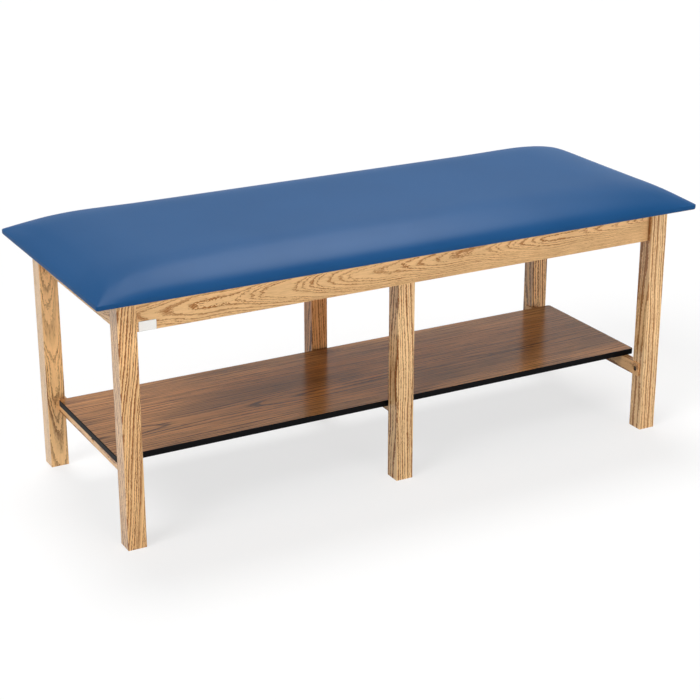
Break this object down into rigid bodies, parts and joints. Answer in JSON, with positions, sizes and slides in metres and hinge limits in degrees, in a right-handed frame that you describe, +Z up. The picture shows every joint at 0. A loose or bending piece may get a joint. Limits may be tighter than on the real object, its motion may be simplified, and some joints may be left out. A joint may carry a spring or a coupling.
{
  "type": "treatment table",
  "caption": "Heavy-duty wooden treatment table with a crowned vinyl-covered top, apron frame, middle legs and a full-length laminated storage shelf.",
  "frame": {"origin": "on the floor under the middle of the top", "axes": "+X along the table to its right end, +Y to the rear, +Z up; the front is at -Y"},
  "size_m": [1.9, 0.762, 0.7803],
  "materials": {
    "oak": "clear satin lacquer",
    "inner_wood": "sawn, unfinished",
    "plywood": "sanded",
    "dowel_wood": "turned",
    "particle_board": "pressed chips",
    "wood_laminate": "wood-grain laminate, satin gloss",
    "backing_sheet": "matt",
    "black_moulding": "satin",
    "blue_vinyl": "fine-grained upholstery vinyl",
    "foam": "open cells",
    "zinc_steel": "zinc plated",
    "white_plate": "satin"
  },
  "bodies": {
    "root": {"apron_dowels": "dowel_wood", "cleat_screws": "zinc_steel", "corner_block_screws": "zinc_steel", "cover_staples": "zinc_steel", "cross_rail_dowels": "dowel_wood", "foam_pad": "foam", "front_apron": "oak", "front_left_corner_block": "inner_wood", "front_left_leg": "oak", "front_left_top_cleat": "inner_wood", "front_middle_leg": "oak", "front_right_corner_block": "inner_wood", "front_right_leg": "oak", "front_right_top_cleat": "inner_wood", "hanger_bolts": "zinc_steel", "hanger_nuts": "zinc_steel", "hanger_washers": "zinc_steel", "left_end_apron": "oak", "left_stretcher": "oak", "middle_cross_rail": "oak", "middle_leg_screws": "zinc_steel", "middle_stretcher": "oak", "name_plate": "white_plate", "rear_apron": "oak", "rear_left_corner_block": "inner_wood", "rear_left_leg": "oak", "rear_left_top_cleat": "inner_wood", "rear_middle_leg": "oak", "rear_right_corner_block": "inner_wood", "rear_right_leg": "oak", "rear_right_top_cleat": "inner_wood", "right_end_apron": "oak", "right_stretcher": "oak", "shelf_backing_sheet": "backing_sheet", "shelf_core": "particle_board", "shelf_edge_moulding": "black_moulding", "shelf_pocket_screws": "zinc_steel", "shelf_screws": "zinc_steel", "shelf_top_laminate": "wood_laminate", "stretcher_bolts": "zinc_steel", "stretcher_washers": "zinc_steel", "top_board": "plywood", "top_screws": "zinc_steel", "vinyl_cover": "blue_vinyl"}
  },
  "joints": []
}
